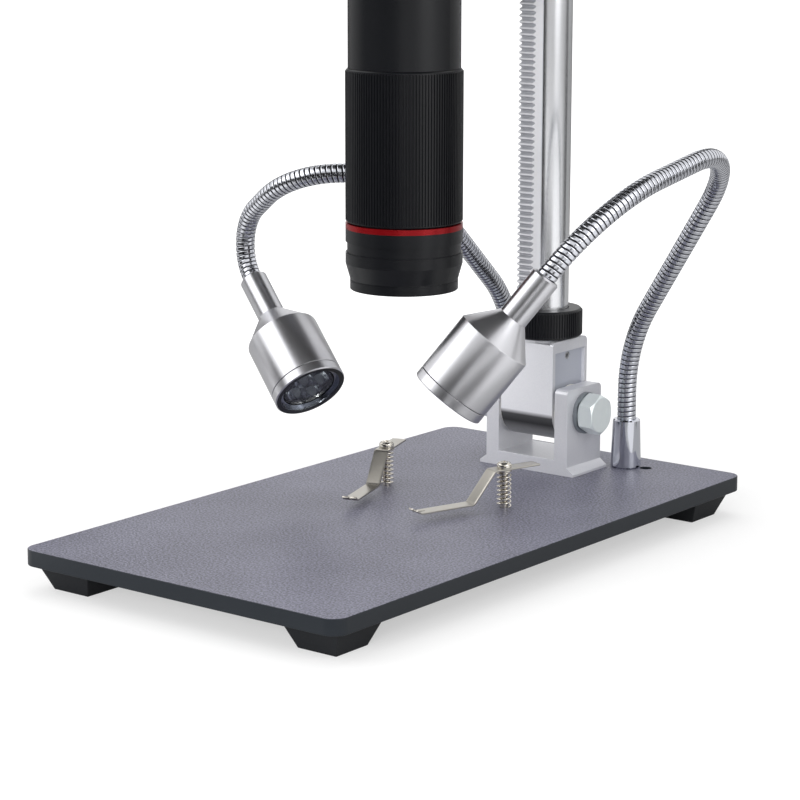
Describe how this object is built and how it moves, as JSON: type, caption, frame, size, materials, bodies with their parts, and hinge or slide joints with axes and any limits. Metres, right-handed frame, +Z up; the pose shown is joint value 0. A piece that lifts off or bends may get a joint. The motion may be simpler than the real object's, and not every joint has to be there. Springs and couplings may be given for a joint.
{
  "type": "lcd digital microscope",
  "caption": "Stand microscope with a tilting rack column, camera barrel, hinged screen, sprung stage clips and two lamps on flexible arms.",
  "frame": {"origin": "centre of the base plate's top face, the stage that work lies on", "axes": "+X to the user's right, +Y to the rear towards the column, +Z up, out of the stage"},
  "size_m": [0.2371, 0.34, 0.479],
  "materials": {
    "anodised_plate": "fine sand-textured black anodised aluminium",
    "foot_rubber": "moulded rubber",
    "screw_steel": "zinc-plated steel",
    "satin_aluminium": "bead-blasted satin aluminium",
    "chrome_steel": "chromed brass and steel",
    "zinc_steel": "blue zinc-plated steel",
    "nylon_white": "natural nylon",
    "nickel_steel": "nickel-plated spring steel",
    "black_anodised": "black anodised aluminium, satin",
    "column_aluminium": "drawn bright anodised aluminium",
    "rack_steel": "machined steel",
    "bearing_bronze": "machined bronze",
    "pinion_brass": "machined brass",
    "barrel_black": "matte black anodised aluminium",
    "red_anodised": "red anodised aluminium",
    "optical_glass": "coated optical glass",
    "board_green": "solder-masked circuit board",
    "abs_black": "fine-textured black ABS",
    "screen_black": "glossy black display surface",
    "button_grey": "soft-touch plastic",
    "lamp_aluminium": "turned bright aluminium",
    "gooseneck_steel": "chromed wound steel",
    "lens_acrylic": "clear moulded acrylic"
  },
  "bodies": {
    "base": {"base_plate": "anodised_plate", "rubber_feet": "foot_rubber", "base_screws": "screw_steel", "stand_bracket": "satin_aluminium", "gooseneck_sleeves": "chrome_steel", "pivot_bolt": "zinc_steel", "pivot_nut": "zinc_steel", "bolt_washers": "zinc_steel", "friction_washers": "nylon_white", "clip_screws": "nickel_steel", "right_gooseneck_lower": "gooseneck_steel", "left_gooseneck_lower": "gooseneck_steel"},
    "right_clip_spring_end": {"right_clip_washer": "nickel_steel", "right_clip_spring": "nickel_steel"},
    "right_clip": {"right_clip_leaf": "nickel_steel"},
    "left_clip_spring_end": {"left_clip_washer": "nickel_steel", "left_clip_spring": "nickel_steel"},
    "left_clip": {"left_clip_leaf": "nickel_steel"},
    "tilt_head": {"tilt_block": "satin_aluminium", "grub_screws": "screw_steel"},
    "collar": {"clamp_collar": "black_anodised"},
    "column": {"column": "column_aluminium", "gear_rack": "rack_steel", "column_cap": "black_anodised"},
    "carriage": {"carriage_housing": "black_anodised", "carriage_bushes": "bearing_bronze", "head_arm": "black_anodised", "arm_screws": "screw_steel"},
    "clamp_knob": {"ring_clamp_screw": "black_anodised"},
    "focus_drive": {"pinion_shaft": "pinion_brass", "right_focus_knob": "black_anodised", "left_focus_knob": "black_anodised"},
    "camera_head": {"barrel_body": "barrel_black", "sensor_board": "board_green", "lens_shroud": "barrel_black", "red_ring": "red_anodised", "objective_lens": "optical_glass", "hinge_base": "black_anodised", "hinge_pin": "screw_steel"},
    "focus_grip": {"focus_ring": "barrel_black"},
    "zoom_cell": {"lens_cell": "pinion_brass"},
    "screen": {"rear_cover": "abs_black", "screen_bezel": "abs_black", "lcd_panel": "screen_black", "main_board": "board_green", "cover_screws": "screw_steel"},
    "power_key": {"power_button": "button_grey"},
    "menu_key": {"menu_button": "button_grey"},
    "down_key": {"down_button": "button_grey"},
    "up_key": {"up_button": "button_grey"},
    "right_arm": {"right_gooseneck_middle": "gooseneck_steel"},
    "right_lamp": {"right_gooseneck_upper": "gooseneck_steel", "right_lamp_head": "lamp_aluminium", "right_lamp_bezel": "lamp_aluminium", "right_lamp_lens": "lens_acrylic"},
    "left_arm": {"left_gooseneck_middle": "gooseneck_steel"},
    "left_lamp": {"left_gooseneck_upper": "gooseneck_steel", "left_lamp_head": "lamp_aluminium", "left_lamp_bezel": "lamp_aluminium", "left_lamp_lens": "lens_acrylic"}
  },
  "joints": [
    {"name": "stand_tilt", "type": "hinge", "parent": "base", "child": "tilt_head", "pos_m": [0, 0.1235, 0.032], "axis": [1, 0, 0], "range_deg": [-10, 15]},
    {"name": "collar_turn", "type": "hinge", "parent": "tilt_head", "child": "collar", "pos_m": [0, 0.1235, 0.078], "axis": [0, 0, 1], "range_deg": [0, 90]},
    {"name": "column_swing", "type": "hinge", "parent": "tilt_head", "child": "column", "pos_m": [0, 0.1235, 0.1], "axis": [0, 0, -1], "range_deg": [-8, 4]},
    {"name": "carriage_slide", "type": "slide", "parent": "column", "child": "carriage", "axis": [0, 0, 1], "range_m": [-0.09, 0.03]},
    {"name": "pinion_turn", "type": "hinge", "parent": "carriage", "child": "focus_drive", "pos_m": [0, 0.0975, 0.276], "axis": [1, 0, 0], "range_deg": [-250, 740]},
    {"name": "clamp_screw_turn", "type": "hinge", "parent": "carriage", "child": "clamp_knob", "pos_m": [0, -0.04125, 0.276], "axis": [1, 0, 0], "range_deg": [0, 90]},
    {"name": "head_turn", "type": "hinge", "parent": "carriage", "child": "camera_head", "pos_m": [0, 0.0015, 0.276], "axis": [0, 0, 1], "range_deg": [-30, 30]},
    {"name": "focus_turn", "type": "hinge", "parent": "camera_head", "child": "focus_grip", "pos_m": [0, 0.0015, 0.18], "axis": [0, 0, 1], "range_deg": [-135, 135]},
    {"name": "lens_cell_slide", "type": "slide", "parent": "camera_head", "child": "zoom_cell", "axis": [0, 0, 1], "range_m": [-0.0096, 0.0096]},
    {"name": "screen_tilt", "type": "hinge", "parent": "camera_head", "child": "screen", "pos_m": [0, 0.0015, 0.328], "axis": [-1, 0, 0], "range_deg": [-10, 70]},
    {"name": "power_press", "type": "slide", "parent": "screen", "child": "power_key", "axis": [0, 1, 0], "range_m": [0, 0.0008], "stiffness_N_per_m": 500, "springref_m": -0.001},
    {"name": "menu_press", "type": "slide", "parent": "screen", "child": "menu_key", "axis": [0, 1, 0], "range_m": [0, 0.0008], "stiffness_N_per_m": 500, "springref_m": -0.001},
    {"name": "down_press", "type": "slide", "parent": "screen", "child": "down_key", "axis": [0, 1, 0], "range_m": [0, 0.0008], "stiffness_N_per_m": 500, "springref_m": -0.001},
    {"name": "up_press", "type": "slide", "parent": "screen", "child": "up_key", "axis": [0, 1, 0], "range_m": [0, 0.0008], "stiffness_N_per_m": 500, "springref_m": -0.001},
    {"name": "right_clip_press", "type": "slide", "parent": "base", "child": "right_clip_spring_end", "axis": [0, 0, -1], "range_m": [0, 0.004], "stiffness_N_per_m": 600, "springref_m": -0.004, "deforming": ["right_clip_spring"]},
    {"name": "right_clip_swing", "type": "hinge", "parent": "right_clip_spring_end", "child": "right_clip", "pos_m": [0.0375, 0.0353, 0.02], "axis": [0, 0, 1], "range_deg": [-15, 60]},
    {"name": "left_clip_press", "type": "slide", "parent": "base", "child": "left_clip_spring_end", "axis": [0, 0, -1], "range_m": [0, 0.004], "stiffness_N_per_m": 600, "springref_m": -0.004, "deforming": ["left_clip_spring"]},
    {"name": "left_clip_swing", "type": "hinge", "parent": "left_clip_spring_end", "child": "left_clip", "pos_m": [-0.0375, 0.0353, 0.02], "axis": [0, 0, -1], "range_deg": [-15, 60]},
    {"name": "right_arm_bend", "type": "hinge", "parent": "base", "child": "right_arm", "pos_m": [0.0371, 0.1476, 0.0362], "axis": [1, 0, 0], "range_deg": [-10, 10]},
    {"name": "right_lamp_bend", "type": "hinge", "parent": "right_arm", "child": "right_lamp", "pos_m": [0.11069, 0.07365, 0.17131], "axis": [0, 0, -1], "range_deg": [-12, 12]},
    {"name": "left_arm_bend", "type": "hinge", "parent": "base", "child": "left_arm", "pos_m": [-0.0371, 0.1476, 0.0362], "axis": [1, 0, 0], "range_deg": [-10, 10]},
    {"name": "left_lamp_bend", "type": "hinge", "parent": "left_arm", "child": "left_lamp", "pos_m": [-0.10027, 0.01058, 0.145], "axis": [0, -1, 0], "range_deg": [-15, 15]}
  ],
  "couplings": [
    {"joint": "pinion_turn", "follows": "carriage_slide", "rad_per_m": -142.86},
    {"joint": "lens_cell_slide", "follows": "focus_turn", "m_per_rad": 0.004}
  ]
}
